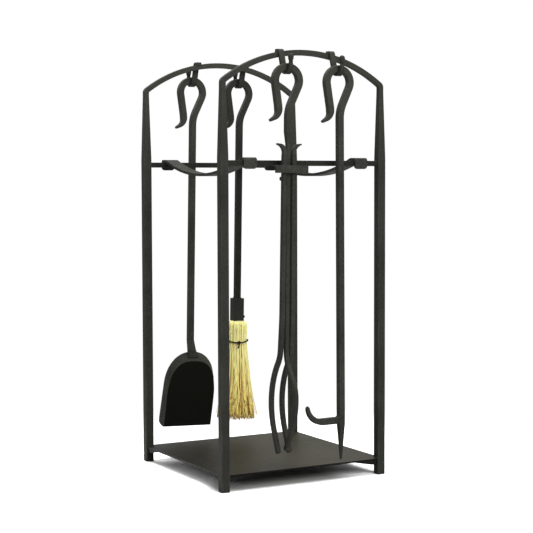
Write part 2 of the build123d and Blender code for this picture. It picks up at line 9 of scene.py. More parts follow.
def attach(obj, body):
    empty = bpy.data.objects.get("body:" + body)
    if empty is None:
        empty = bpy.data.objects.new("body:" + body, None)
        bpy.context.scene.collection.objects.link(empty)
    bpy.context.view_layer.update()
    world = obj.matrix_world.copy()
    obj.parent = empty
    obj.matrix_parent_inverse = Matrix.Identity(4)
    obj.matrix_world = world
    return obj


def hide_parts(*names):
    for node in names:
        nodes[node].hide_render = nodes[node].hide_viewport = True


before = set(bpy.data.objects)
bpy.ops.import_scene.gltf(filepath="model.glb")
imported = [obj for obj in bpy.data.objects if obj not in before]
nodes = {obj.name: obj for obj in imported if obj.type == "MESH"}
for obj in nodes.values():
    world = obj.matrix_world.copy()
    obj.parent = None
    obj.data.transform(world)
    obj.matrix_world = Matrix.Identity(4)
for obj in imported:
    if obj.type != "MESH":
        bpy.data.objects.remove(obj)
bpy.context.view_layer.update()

# Camera: a long lens a little above the middle of the rack, out to the left of its front.
# It looks 28.7 degrees to the right of straight ahead and 3.4 degrees down.
sensor_mm = 36.0
lens_pixels = 1430.01
image_pixels = 533
camera_spot = (-1.25931, -2.31868, 0.53226)
yaw = 0.50166
pitch = 0.05969
roll = -0.0030615
studio_camera = bpy.data.cameras.new("studio_camera")
studio_camera.sensor_width = sensor_mm
studio_camera.lens = sensor_mm * lens_pixels / image_pixels
camera = bpy.data.objects.new("studio_camera", studio_camera)
bpy.context.scene.collection.objects.link(camera)
ahead = Vector((math.sin(yaw) * math.cos(pitch), math.cos(yaw) * math.cos(pitch), -math.sin(pitch)))
level_right = Vector((math.cos(yaw), -math.sin(yaw), 0.0))
level_up = level_right.cross(ahead)
right = level_right * math.cos(roll) + level_up * math.sin(roll)
up = level_up * math.cos(roll) - level_right * math.sin(roll)
camera_turn = Matrix((right, up, -ahead)).transposed().to_4x4()
camera.matrix_world = Matrix.Translation(camera_spot) @ camera_turn
bpy.context.scene.camera = camera

# Posts: four square steel bars, 15 mm, drawn thinner under the hammer above the cross rails.
# They are sprayed in a satin graphite paint with a fine grain that has rubbed thin along the arrises.
post_axis = 0.15825
arris_out = 0.0073
arris_core = 0.0003
arris_fade = 0.0011
# Painted light for the tops of the bars, and painted shade for their feet.
painted_top_light = (0.076, 0.077, 0.064, 1.0)
painted_low_shade = (0.010, 0.0102, 0.0082, 1.0)
dust_grey = (0.095, 0.092, 0.082, 1.0)
worn_grey = (0.075, 0.074, 0.068, 1.0)
# Painted shade, near black, and the grey of ash that lies over it.
painted_shade_black = (0.0040, 0.0042, 0.0030, 1.0)
painted_shade_grey = (0.0078, 0.0081, 0.0060, 1.0)
ash_grey = (0.032, 0.031, 0.027, 1.0)
paint_specular = 0.05


class Flow:
    """One value, colour or vector on its way through a material's nodes."""

    def __init__(self, tree, socket=None):
        self.tree = tree
        self.socket = socket

    def node(self, kind, settings=None, inputs=None, output=0):
        """Adds a node: its settings first, then the values or links of its sockets."""
        made = self.tree.nodes.new(kind)
        for name, value in (settings or {}).items():
            setattr(made, name, value)
        for key, value in (inputs or {}).items():
            if isinstance(value, Flow):
                self.tree.links.new(value.socket, made.inputs[key])
            else:
                made.inputs[key].default_value = value
        return Flow(self.tree, made.outputs[output] if made.outputs else None)

    def math(self, operation, first, second=0.0):
        return self.node("ShaderNodeMath", {"operation": operation}, {0: first, 1: second})

    def __add__(self, other):
        return self.math("ADD", self, other)

    def __radd__(self, other):
        return self.math("ADD", other, self)

    def __sub__(self, other):
        return self.math("SUBTRACT", self, other)

    def __rsub__(self, other):
        return self.math("SUBTRACT", other, self)

    def __mul__(self, other):
        return self.math("MULTIPLY", self, other)

    def __rmul__(self, other):
        return self.math("MULTIPLY", other, self)

    def __abs__(self):
        return self.math("ABSOLUTE", self)

    def between(self, low, high):
        """0 below low and 1 above high, with a soft step between."""
        settings = {"interpolation_type": "SMOOTHSTEP"}
        return self.node("ShaderNodeMapRange", settings, {"Value": self, "From Min": low, "From Max": high})

    def blend(self, low, high):
        """The colour low where this is 0 and high where it is 1."""
        return self.node("ShaderNodeMix", {"data_type": "RGBA"}, {0: self, 6: low, 7: high}, 2)

    def noise(self, scale, detail=2.0, roughness=0.5):
        """Noise read at this place, with so many features in a metre."""
        inputs = {"Vector": self, "Scale": scale, "Detail": detail, "Roughness": roughness}
        return self.node("ShaderNodeTexNoise", None, inputs, "Fac")

    def part(self, axis):
        """One of X, Y and Z of a vector."""
        return self.node("ShaderNodeSeparateXYZ", None, {"Vector": self}, axis)

    def facing(self):
        """The way that the surface faces."""
        return self.node("ShaderNodeNewGeometry", None, None, "Normal")

    def bump(self, height, strength=1.0, distance=0.001):
        """The surface's normal, tilted by a height."""
        inputs = {"Strength": strength, "Distance": distance, "Height": height}
        return self.node("ShaderNodeBump", None, inputs, "Normal")


def new_finish(name):
    """An empty material: its shader and the place on the piece that is being shaded."""
    material = bpy.data.materials.new(name)
    material.use_nodes = True
    shader = material.node_tree.nodes["Principled BSDF"]
    place = Flow(material.node_tree).node("ShaderNodeTexCoord", None, None, "Object")
    return material, shader, place


def feed(shader, **links):
    """Links flows to the shader's sockets, which are named with underscores for spaces."""
    for name, flow in links.items():
        flow.tree.links.new(flow.socket, shader.inputs[name.replace("_", " ")])


def graphite_paint(name, dark, light, hammered, rubbed=None, painted_shade=None):
    """Satin graphite spray over steel, with painted light that makes it paler towards the top and painted
    shade that darkens it near the floor.

    hammered is the depth in mm of the smith's facets under it. rubbed gives where its edges are worn,
    and the last argument gives where painted shade lies on it and where ash lies on that shade.
    """
    material, shader, place = new_finish(name)
    cloud = place.noise(17.0, detail=3.0, roughness=0.55)
    mottle = place.noise(170.0, detail=4.0, roughness=0.6)
    grain = place.noise(1500.0, detail=2.0, roughness=0.6)
    pits = place.noise(480.0, detail=2.0, roughness=0.5)
    tone = (cloud * 0.40 + mottle * 0.30 + pits * 0.30).between(0.36, 0.64)
    colour = tone.blend(dark, light)
    height = place.part("Z")
    # Painted light pales the paint towards the top, and painted shade darkens it near the floor.
    colour = (height.between(0.50, 0.70) * 0.21).blend(colour, painted_top_light)
    colour = ((1.0 - height.between(0.02, 0.26)) * 0.22).blend(colour, painted_low_shade)
    dust = place.facing().part("Z").between(0.45, 1.0) * (0.12 + mottle * 0.14)
    colour = dust.blend(colour, dust_grey)
    if rubbed is not None:
        worn = rubbed(place) * cloud.between(0.40, 0.62)
        colour = (worn * 0.5).blend(colour, worn_grey)
    rough = 0.44 + mottle * 0.16 + grain * 0.10 + dust * 0.12
    # Painted shade, mottled, where the last argument puts it, with ash over part of it.
    if painted_shade is not None:
        shade_mask, ash = painted_shade(place)
        shade_and_ash = mottle.blend(painted_shade_black, painted_shade_grey)
        shade_and_ash = (ash * cloud.between(0.40, 0.66) * 0.7).blend(shade_and_ash, ash_grey)
        colour = shade_mask.blend(colour, shade_and_ash)
        rough = rough + shade_mask * 0.35
    facets = place.noise(75.0, detail=2.0, roughness=0.4)
    dents = facets * hammered + pits * 0.05 + grain * 0.02
    feed(shader, Base_Color=colour, Roughness=rough, Normal=place.bump(dents))
    shader.inputs["Specular IOR Level"].default_value = paint_specular
    return material


def dress(material, *names):
    """Gives CAD nodes a finish."""
    for name in names:
        for slot in nodes[name].material_slots:
            slot.material = material


def post_arrises(place):
    """1 along the long edges of the posts."""
    beside_x = abs(abs(abs(place.part("X")) - post_axis) - arris_out)
    beside_y = abs(abs(abs(place.part("Y")) - post_axis) - arris_out)
    near_x = 1.0 - beside_x.between(arris_core, arris_fade)
    near_y = 1.0 - beside_y.between(arris_core, arris_fade)
    return near_x * near_y


post_paint = graphite_paint(
    "post_graphite", dark=(0.0212, 0.0218, 0.0176, 1), light=(0.0346, 0.0356, 0.0295, 1), hammered=0.05,
    rubbed=post_arrises)
dress(post_paint, "front_left_post", "front_right_post", "rear_left_post", "rear_right_post")

# Arches and cross rails: square bar, 9.5 mm, the arches bent hot over a former and butted on the posts.
# They have the posts' paint, a little clouded where the bar was heated, and the rails are painted darker:
# painted shade, as under the logs they carry.
bar_paint = graphite_paint(
    "bar_graphite", dark=(0.0221, 0.0229, 0.0186, 1), light=(0.0383, 0.0395, 0.0328, 1), hammered=0.10)
dress(bar_paint, "front_arch", "rear_arch")
rail_shaded_paint = graphite_paint(
    "rail_graphite", dark=(0.0100, 0.0104, 0.0085, 1), light=(0.0210, 0.0217, 0.0180, 1), hammered=0.10)
dress(rail_shaded_paint, "front_rail", "rear_rail")

# Cradle straps: two flat bars that sag between the rails and are folded over them.
# They are hammered deeper than the rest of the rack, and their paint is blotched dark and pale.
strap_paint = graphite_paint(
    "strap_graphite", dark=(0.0130, 0.0134, 0.0112, 1), light=(0.0450, 0.0463, 0.0395, 1), hammered=0.30)
dress(strap_paint, "left_cradle_strap", "right_cradle_strap")

# Tray and gussets: a sheared 3 mm plate notched round the posts, on four wedges at its corners.
# The plate has a thin brushed coat; painted shade darkens it towards its left side and a little at its right
# end, and its edges and underside are painted near black, also painted shade.
tray_dark = (0.024, 0.0218, 0.0122, 1)
tray_light = (0.042, 0.0384, 0.0228, 1)
tray_painted_shade = (0.0085, 0.0082, 0.0058, 1)
grit_grey = (0.085, 0.080, 0.064, 1)
tray_edge_painted_shade = (0.004, 0.004, 0.0034, 1)
brush_stretch = (1.0, 0.03, 1.0)
tray_paint, tray_shader, tray_place = new_finish("tray_graphite")
tray_cloud = tray_place.noise(7.0, detail=4.0, roughness=0.6)
tray_scuff = tray_place.noise(60.0, detail=5.0, roughness=0.62)
tray_grit = tray_place.noise(900.0, detail=3.0, roughness=0.7)
brush_lines = tray_place.node("ShaderNodeMapping", None, {"Vector": tray_place, "Scale": brush_stretch})
tray_brushed = brush_lines.noise(420.0, detail=3.0, roughness=0.65)
tray_tone = (tray_cloud * 0.45 + tray_scuff * 0.25 + tray_brushed * 0.30).between(0.36, 0.64)
tray_colour = tray_tone.blend(tray_dark, tray_light)
tray_across = tray_place.part("X")
# Painted shade: darker towards the left side of the tray and a little at its right end.
tray_unshaded_share = tray_across.between(-0.14, 0.065) * 0.72 + tray_cloud * 0.28
tray_unshaded_share = tray_unshaded_share * (1.0 - tray_across.between(0.05, 0.16) * 0.22)
tray_colour = tray_unshaded_share.blend(tray_painted_shade, tray_colour)
tray_colour = tray_grit.between(0.64, 0.78).blend(tray_colour, grit_grey)
# The edges and underside are painted near black: painted shade.
tray_level = tray_place.facing().part("Z").between(0.3, 0.8)
tray_colour = tray_level.blend(tray_edge_painted_shade, tray_colour)
tray_relief = tray_scuff * 0.06 + tray_brushed * 0.05 + tray_grit * 0.02
feed(tray_shader, Base_Color=tray_colour, Roughness=0.36 + tray_scuff * 0.16 + tray_brushed * 0.08,
     Normal=tray_place.bump(tray_relief))
tray_shader.inputs["Specular IOR Level"].default_value = paint_specular
dress(tray_paint, "tray")
# The wedges under the tray are painted near black: painted shade.
gusset_shaded_paint = graphite_paint(
    "gusset_graphite", dark=(0.0045, 0.0046, 0.0039, 1), light=(0.0100, 0.0103, 0.0088, 1), hammered=0.06)
dress(gusset_shaded_paint, "front_left_tray_gusset", "front_right_tray_gusset", "rear_left_tray_gusset",
      "rear_right_tray_gusset")

# Tool hooks: short flat bars bent over the arches, each drawn to a stem that ends in a knob.
# They carry the tools' crooks and are hammered rougher than the arches.
front_left_hook_x = -0.0485
front_right_hook_x = 0.0535
rear_left_hook_x = -0.0494
rear_right_hook_x = 0.0526
hook_places = (
    (front_left_hook_x, -1), (front_right_hook_x, -1), (rear_left_hook_x, 1), (rear_right_hook_x, 1),
)
hook_paint = graphite_paint(
    "hook_graphite", dark=(0.0182, 0.0187, 0.0154, 1), light=(0.0357, 0.0367, 0.0307, 1), hammered=0.16)
dress(hook_paint, "front_left_tool_hook", "front_right_tool_hook", "rear_left_tool_hook",
      "rear_right_tool_hook")

# Rack welds: short runs of bead that hold the rails and the tray to the posts and the hooks to the arches.
# Each is a row of puddles, one lapped on the next, in the corner between two bars, and is painted over.
post_inner = 0.15075
rail_side = 0.0052
rail_low_z = 0.5590
rail_high_z = 0.5670
rail_top_z = 0.5682
rail_top_half = 0.004
tray_top_z = 0.0297
notch_near = 0.152
notch_far = 0.1632
arch_centre_z = 0.49025
arch_radius = 0.26875
band_half = 0.0052
band_side = 0.0057
band_inner_y = 0.1532
band_near_y = 0.1545
band_far_y = 0.1620
puddle_pitch = 0.8
puddle_flat = 0.62
puddle_uneven = 0.12
puddle_lean = 0.25


def finished(name, shape, body, finish, smooth=True):
    """Makes an object of a bmesh, gives it its finish and lets it ride on its body."""
    mesh = bpy.data.meshes.new(name)
    if smooth:
        for face in shape.faces:
            face.smooth = True
    shape.to_mesh(mesh)
    shape.free()
    mesh.materials.append(finish)
    piece = bpy.data.objects.new(name, mesh)
    bpy.context.scene.collection.objects.link(piece)
    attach(piece, body)
    return piece


def weld_runs(name, body, runs, radius, finish, seat=None):
    """Rows of lapped weld puddles. Each run goes from one point to another, in the frame that seat gives."""
    dice = random.Random(name)
    bead = bmesh.new()
    for start, end in runs:
        run = Vector(end) - Vector(start)
        count = max(2, round(run.length / (radius * puddle_pitch)))
        along = run.normalized().to_track_quat("Z", "Y").to_matrix().to_4x4()
        for index in range(count):
            spot = Vector(start) + run * (index + 0.5) / count
            size = radius * dice.uniform(1.0 - puddle_uneven, 1.0 + puddle_uneven)
            lean = Matrix.Rotation(dice.uniform(-puddle_lean, puddle_lean), 4, "X")
            flat = Matrix.Diagonal((size, size, size * puddle_flat, 1.0))
            puddle = Matrix.Translation(spot) @ along @ lean @ flat
            bmesh.ops.create_icosphere(bead, subdivisions=2, radius=1.0, matrix=puddle)
    if seat is not None:
        bmesh.ops.transform(bead, matrix=seat, verts=bead.verts)
    return finished(name, bead, body, finish)


def arch_top(x):
    """The height of an arch's upper face."""
    return arch_centre_z + math.sqrt(arch_radius**2 - x**2)


rail_runs = []
tray_runs = []
for side in (-1, 1):
    for face in (-1, 1):
        joint_x = side * post_inner
        joint_y = face * post_axis
        for edge in (-1, 1):
            seam_y = joint_y + edge * rail_side
            rail_runs.append(((joint_x, seam_y, rail_low_z), (joint_x, seam_y, rail_high_z)))
        seam_start = (joint_x, joint_y - rail_top_half, rail_top_z)
        seam_end = (joint_x, joint_y + rail_top_half, rail_top_z)
        rail_runs.append((seam_start, seam_end))
        notch_y = face * post_inner
        tray_runs.append(((joint_x, face * notch_near, tray_top_z), (joint_x, face * notch_far, tray_top_z)))
        tray_runs.append(((side * notch_near, notch_y, tray_top_z), (side * notch_far, notch_y, tray_top_z)))
weld_runs("rail_welds", "rack", rail_runs, radius=0.0013, finish=rail_shaded_paint)
weld_runs("tray_welds", "rack", tray_runs, radius=0.0014, finish=bar_paint)
hook_runs = []
for hook_x, face in hook_places:
    top_z = arch_top(hook_x)
    band_y = face * band_inner_y
    hook_runs.append(((hook_x - band_half, band_y, top_z), (hook_x + band_half, band_y, top_z)))
    for edge in (-1, 1):
        side_x = hook_x + edge * band_side
        side_z = arch_top(side_x)
        hook_runs.append(((side_x, face * band_near_y, side_z), (side_x, face * band_far_y, side_z)))
weld_runs("hook_welds", "rack", hook_runs, radius=0.0013, finish=hook_paint)

# Hook knobs: the end of each hook's stem is upset to a ball under the hammer, so it is never quite round.
# A short collar runs from the stem into the ball, and both have the hook's paint.
knob_out = 0.19908
collar_z = 0.7375
collar_height = 0.006
collar_low_radius = 0.0031
collar_top_radius = 0.0048
knob_z = 0.7436
knob_radius = 0.0054
knob_squash = (1.0, 0.94, 0.97, 1.0)
knob_uneven = 0.02
knob_dice = random.Random(11)
knobs = bmesh.new()
for hook_x, face in hook_places:
    knob_y = face * knob_out
    bmesh.ops.create_cone(
        knobs, cap_ends=True, segments=16, radius1=collar_low_radius, radius2=collar_top_radius,
        depth=collar_height, matrix=Matrix.Translation((hook_x, knob_y, collar_z)))
    first = len(knobs.verts)
    ball = Matrix.Translation((hook_x, knob_y, knob_z)) @ Matrix.Diagonal(knob_squash)
    bmesh.ops.create_icosphere(knobs, subdivisions=3, radius=knob_radius, matrix=ball)
    knobs.verts.ensure_lookup_table()
    for vert in knobs.verts[first:]:
        vert.co += (vert.co - ball.translation) * knob_dice.uniform(-knob_uneven, knob_uneven)
finished("hook_knobs", knobs, "rack", hook_paint)

# Poker: a square bar, 11.5 mm, bent to a crook at the top and drawn to a blunt point below.
# The side hook is a second bar, curled hot and welded on with a heavy bead.
crook_top = 0.7210
crook_offset = -0.002847
hang_y = 0.185832
poker_lean = -0.26
hook_butt_x = -0.0059
hook_butt_z = 0.111
hook_butt_low_z = 0.1060
hook_butt_high_z = 0.1160
hook_butt_half = 0.0050
hook_butt_side = 0.0056
hook_butt_top = 0.0057
front_seam_low = (-0.0062, -0.0057, 0.1050)
front_seam_high = (0.0024, -0.0057, 0.1165)


def hung(hook_x, hook_y, lean_degrees):
    """The frame of a tool on its hook, with its shaft on the Z axis before it leans."""
    lean = Matrix.Rotation(math.radians(lean_degrees), 4, "Y")
    shaft = Matrix.Translation((-crook_offset, 0, -crook_top))
    return Matrix.Translation((hook_x, hook_y, crook_top)) @ lean @ shaft


tool_paint = graphite_paint(
    "tool_graphite", dark=(0.0211, 0.0217, 0.0179, 1), light=(0.0421, 0.0432, 0.0361, 1), hammered=0.22)
dress(tool_paint, "poker_bar", "poker_side_hook")
poker_seat = hung(front_right_hook_x, -hang_y, poker_lean)
hook_joint = []
for edge in (-1, 1):
    seam_z = hook_butt_z + edge * hook_butt_top
    hook_joint.append(((hook_butt_x, -hook_butt_half, seam_z), (hook_butt_x, hook_butt_half, seam_z)))
    seam_y = edge * hook_butt_side
    hook_joint.append(((hook_butt_x, seam_y, hook_butt_low_z), (hook_butt_x, seam_y, hook_butt_high_z)))
hook_joint.append((front_seam_low, front_seam_high))
weld_runs("poker_hook_weld", "poker", hook_joint, radius=0.0021, finish=tool_paint, seat=poker_seat)

# Shovel: the bar is drawn out to a fishtail below and welded on three sides to a dished sheet pan.
# The pan is pressed from 2 mm sheet; its walls are painted lighter than the bars, a painted light, and
# painted shade darkens its floor and the top of its wall.
shovel_lean = 1.05
fishtail_low_left = (-0.0072, -0.0067, 0.1906)
fishtail_low_right = (0.0143, -0.0067, 0.1906)
fishtail_high_left = (-0.0066, -0.0012, 0.1992)
fishtail_high_right = (0.0108, -0.0012, 0.1992)
pan_floor_facing = (0.0, 0.9877, 0.1564)
dress(tool_paint, "shovel_handle")
shovel_seat = hung(rear_left_hook_x, hang_y, shovel_lean)
fishtail_seam = [
    (fishtail_low_left, fishtail_low_right),
    (fishtail_low_left, fishtail_high_left),
    (fishtail_low_right, fishtail_high_right),
]
weld_runs("shovel_neck_weld", "shovel", fishtail_seam, radius=0.0018, finish=tool_paint, seat=shovel_seat)


def pan_painted_shade(place):
    """Painted shade on the pan's floor and, thinner, on its top wall, and ash on the inside alone."""
    across = {0: place.facing(), 1: pan_floor_facing}
    inward = place.node("ShaderNodeVectorMath", {"operation": "DOT_PRODUCT"}, across, "Value")
    top_shade = place.part("Z").between(0.125, 0.178) * 0.42
    shade_mask = abs(inward).between(0.86, 0.985)
    return shade_mask.math("MAXIMUM", shade_mask, top_shade), inward.between(0.86, 0.985)


# Painted light makes the pan's paint lighter than the bars'.
pan_lit_and_shaded_paint = graphite_paint(
    "pan_graphite", dark=(0.0451, 0.0463, 0.0388, 1), light=(0.0724, 0.0740, 0.0638, 1), hammered=0.16,
    painted_shade=pan_painted_shade)
dress(pan_lit_and_shaded_paint, "shovel_pan")

# Brush handle and ferrule: the bar is butted on a square socket folded from sheet.
# The seam is closed with a ring of weld, and a round-headed screw goes through the socket's side.
brush_lean = 1.05
socket_top_z = 0.3012
socket_seam_out = 0.0060
socket_seam_half = 0.0053
# The handle, its screw and weld are painted darker than the other tools: painted shade.
brush_shaded_paint = graphite_paint(
    "brush_graphite", dark=(0.0100, 0.0104, 0.0083, 1), light=(0.0206, 0.0213, 0.0174, 1), hammered=0.14)
dress(brush_shaded_paint, "brush_handle", "ferrule_screw")
socket_paint = graphite_paint(
    "socket_graphite", dark=(0.0145, 0.0150, 0.0122, 1), light=(0.0275, 0.0284, 0.0234, 1), hammered=0.14)
dress(socket_paint, "brush_ferrule")
brush_seat = hung(rear_right_hook_x, hang_y, brush_lean)
socket_ring = []
for edge in (-1, 1):
    seam = edge * socket_seam_out
    socket_ring.append(((-socket_seam_half, seam, socket_top_z), (socket_seam_half, seam, socket_top_z)))
    socket_ring.append(((seam, -socket_seam_half, socket_top_z), (seam, socket_seam_half, socket_top_z)))
weld_runs("brush_socket_weld", "brush", socket_ring, radius=0.0013, finish=brush_shaded_paint, seat=brush_seat)

# Broom straw: stems of broomcorn gathered under the socket, bound once and splayed to ragged tufts.
# Each stem is stiff and a little crooked, pale straw at the top and browner, with side twigs, at its end.
# The rows give the bundle's height, its swell and how loose the stems are there, from the socket down.
straw_count = 480
tuft_count = 200
twig_count = 1300
bundle_radius = 0.0206
straw_foot_z = 0.063
straw_rows = (
    (0.2566, 0.60, 0.00), (0.2546, 0.90, 0.00), (0.2490, 1.00, 0.04), (0.2360, 1.00, 0.08),
    (0.2164, 0.965, 0.04), (0.2020, 1.030, 0.12), (0.1880, 1.110, 0.20), (0.1740, 1.195, 0.29),
    (0.1600, 1.280, 0.38), (0.1460, 1.370, 0.47), (0.1320, 1.455, 0.56), (0.1180, 1.545, 0.65),
    (0.1040, 1.630, 0.74), (0.0900, 1.720, 0.83), (0.0760, 1.805, 0.92), (0.0630, 1.890, 1.00),
)
last_row = len(straw_rows) - 1
root_inset = 0.0005
stem_inset = 0.0004
loose_inset = 0.0022
tuft_pull = 0.18
wave_rate = 120.0
longest_drop = -0.0010
stem_thinning = 0.15
cut_end_girth = 0.5
foot_swell = 1.89
swell_in_a_metre = 6.0
outer_share = 0.80
outer_shade = 0.92
# The core's stems are painted darker: painted shade inside the bundle.
core_painted_shade = 0.38
dark_stem_share = 0.14
sprung_stem_share = 0.03
twig_low_z = 0.066
twig_high_z = 0.150
twig_most_z = 0.074
twig_end_z = 0.0625
twig_rise = 0.16
twig_gather = 0.62
twig_slant = 0.34
twig_flare = 0.16
twig_curl = 0.0022
twig_inset = 0.0012
twig_girth = 0.00060
twig_taper = 0.5
twig_bow = 3.0
twig_shades = (0.05, 0.3, 0.75, 0.9, 1.0)
stray_inset = 0.0008
stray_girth = 0.0005
stray_shade = 0.8
stray_stems = (
    (-0.62, 0.0075, 0.135, 0.064), (-0.40, 0.0045, 0.120, 0.070), (-0.15, 0.0055, 0.110, 0.066),
    (2.3, 0.0050, 0.120, 0.068), (3.6, 0.0060, 0.115, 0.065), (1.2, 0.0040, 0.105, 0.067),
)


def cut_stem(name, sides, cuts):
    """A stem of unit length and radius, cut across so that it can be bent."""
    stem = bmesh.new()
    bmesh.ops.create_cone(stem, cap_ends=True, segments=sides, radius1=1.0, radius2=1.0, depth=1.0,
                          matrix=Matrix.Translation((0, 0, 0.5)))
    cut_across(stem, cuts)
    mesh = bpy.data.meshes.new(name)
    stem.to_mesh(mesh)
    stem.free()
    return mesh


def cut_across(shape, cuts):
    """Cuts a shape of unit height into so many equal lengths."""
    for cut in range(1, cuts):
        every = shape.verts[:] + shape.edges[:] + shape.faces[:]
        bmesh.ops.bisect_plane(shape, geom=every, plane_co=(0, 0, cut / cuts), plane_no=(0, 0, 1))


def added_verts(shape, mesh):
    """Adds a mesh to a bmesh and gives its new vertices."""
    first = len(shape.verts)
    shape.from_mesh(mesh)
    shape.verts.ensure_lookup_table()
    return shape.verts[first:]


def cone_radius(height):
    """The radius of the splayed straw below its binding."""
    return bundle_radius * (foot_swell - swell_in_a_metre * (height - straw_foot_z))


straw_dice = random.Random(7)
golden_turn = math.radians(137.508)
tufts = []
for index in range(tuft_count):
    reach = bundle_radius * math.sqrt((index + 0.5) / tuft_count)
    middle = Vector((reach * math.cos(index * golden_turn), reach * math.sin(index * golden_turn), 0.0))
    tuft_shade = straw_dice.uniform(-0.22, 0.18)
    tuft_sway = straw_dice.gauss(0.0, 0.0026)
    tuft_drop = straw_dice.gauss(0.0, 0.0016)
    tufts.append((middle, tuft_shade, tuft_sway, tuft_drop))

straw = bmesh.new()
shade_layer = straw.verts.layers.float.new("straw_shade")
stem_mesh = cut_stem("straw_stem", 5, last_row)
twig_mesh = cut_stem("straw_twig", 3, 3)
tips = []
for index in range(straw_count):
    stem_verts = added_verts(straw, stem_mesh)
    reach = (bundle_radius - root_inset) * math.sqrt((index + 0.5) / straw_count)
    bearing = index * golden_turn
    outward = Vector((math.cos(bearing), math.sin(bearing), 0.0))
    aside = Vector((-outward.y, outward.x, 0.0))
    root = outward * reach
    nearest = min(tufts, key=lambda tuft: (tuft[0] - root).length_squared)
    middle, tuft_shade, tuft_sway, tuft_drop = nearest
    outer = reach > outer_share * bundle_radius
    # Stems inside the bundle are painted darker than the outer ones: painted shade in its core.
    shade = (outer_shade if outer else core_painted_shade) + tuft_shade + straw_dice.gauss(0.0, 0.18)
    shade = min(1.0, max(0.0, shade))
    thickness = straw_dice.uniform(0.00074, 0.00112)
    if straw_dice.random() < dark_stem_share:
        shade = straw_dice.uniform(0.0, 0.25)
        thickness *= 0.7
    spread = straw_dice.gauss(0.0, 0.0006)
    if straw_dice.random() < sprung_stem_share:
        spread += straw_dice.uniform(0.0005, 0.0026)
    slant = straw_dice.gauss(0.0, 0.0085)
    wave = straw_dice.gauss(0.0, 0.0022)
    wave_phase = straw_dice.uniform(0.0, 6.28)
    drop = tuft_drop + straw_dice.uniform(-0.0012, 0.0085)
    spin = straw_dice.uniform(0.0, 1.57)
    for vert in stem_verts:
        row = round(vert.co.z * last_row)
        height, swell, loose = straw_rows[row]
        if row == last_row:
            height += max(drop, longest_drop)
        gathered = root.lerp(middle, tuft_pull * loose)
        sway = loose * (wave * math.sin(wave_phase + wave_rate * height) + tuft_sway + slant)
        centre = gathered * swell + outward * spread * loose + aside * sway
        limit = (bundle_radius - stem_inset) * swell + (max(spread, 0.0) - loose_inset) * loose
        if centre.length > limit:
            centre *= limit / centre.length
        girth = thickness * (1.0 - stem_thinning * loose) * (cut_end_girth if row == last_row else 1.0)
        corner = math.atan2(vert.co.y, vert.co.x) + spin
        vert.co = centre + Vector((girth * math.cos(corner), girth * math.sin(corner), height))
        vert[shade_layer] = shade
    if outer:
        tips.append((centre, outward))

for index in range(twig_count):
    centre, outward = straw_dice.choice(tips)
    height = straw_dice.triangular(twig_low_z, twig_high_z, twig_most_z)
    up_share = (height - straw_foot_z) / twig_rise
    foot = centre * (1.0 - twig_gather * up_share) + Vector((0.0, 0.0, height))
    heading = Vector((straw_dice.gauss(0, twig_slant), straw_dice.gauss(0, twig_slant), -1.0))
    heading += outward * twig_flare
    curl = Vector((straw_dice.gauss(0, 1), straw_dice.gauss(0, 1), 0.0)) * twig_curl
    length = min(straw_dice.uniform(0.008, 0.022), height - twig_end_z)
    shade = straw_dice.choice(twig_shades)
    for vert in added_verts(straw, twig_mesh):
        share = vert.co.z
        girth = twig_girth * (1.0 - twig_taper * share)
        ring = Vector((vert.co.x * girth, vert.co.y * girth, 0.0))
        spot = foot + heading * length * share + curl * math.sin(twig_bow * share)
        limit = (cone_radius(spot.z) - twig_inset) / max(spot.xy.length, 0.001)
        if limit < 1.0:
            spot.xy *= limit
        vert.co = spot + ring
        vert[shade_layer] = shade

stray_mesh = cut_stem("straw_stray", 4, 6)
for bearing, stray_reach, stray_top, stray_low in stray_stems:
    outward = Vector((math.cos(bearing), math.sin(bearing), 0.0))
    for vert in added_verts(straw, stray_mesh):
        share = vert.co.z
        height = stray_top + (stray_low - stray_top) * share
        centre = outward * (cone_radius(height) - stray_inset + stray_reach * share * share)
        vert.co = centre + Vector((vert.co.x * stray_girth, vert.co.y * stray_girth, height))
        vert[shade_layer] = stray_shade
bmesh.ops.recalc_face_normals(straw, faces=straw.faces)
bmesh.ops.transform(straw, matrix=brush_seat, verts=straw.verts)

fresh_dark = (0.88, 0.67, 0.20, 1)
fresh_light = (1.0, 0.94, 0.44, 1)
end_dark = (0.37, 0.110, 0.010, 1)
end_light = (1.0, 0.74, 0.165, 1)
speck_brown = (0.50, 0.22, 0.045, 1)
straw_finish, straw_shader, straw_place = new_finish("broom_straw")
straw_shade = straw_place.node("ShaderNodeAttribute", {"attribute_name": "straw_shade"}, None, "Fac")
straw_low = 1.0 - straw_place.part("Z").between(0.045, 0.245)
straw_fleck = straw_place.noise(330.0, detail=3.0, roughness=0.6)
straw_pale = straw_shade.blend(fresh_dark, fresh_light)
straw_brown = straw_shade.between(0.15, 0.85).blend(end_dark, end_light)
straw_colour = (straw_low * 0.85).blend(straw_pale, straw_brown)
straw_speck = straw_fleck.between(0.60, 0.74) * (0.12 + straw_low * 0.38)
straw_colour = straw_speck.blend(straw_colour, speck_brown)
straw_fibre = straw_place.noise(1800.0, detail=2.0, roughness=0.5)
feed(straw_shader, Base_Color=straw_colour, Roughness=0.45 + straw_fleck * 0.25,
     Normal=straw_place.bump(straw_fibre, strength=0.6, distance=0.0004))
straw_shader.inputs["Specular IOR Level"].default_value = 0.4
straw_shader.inputs["Subsurface Weight"].default_value = 0.4
straw_shader.inputs["Subsurface Radius"].default_value = (1.0, 0.7, 0.25)
straw_shader.inputs["Subsurface Scale"].default_value = 0.0015
broom = finished("broom_straw", straw, "brush", straw_finish)
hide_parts("bristles")

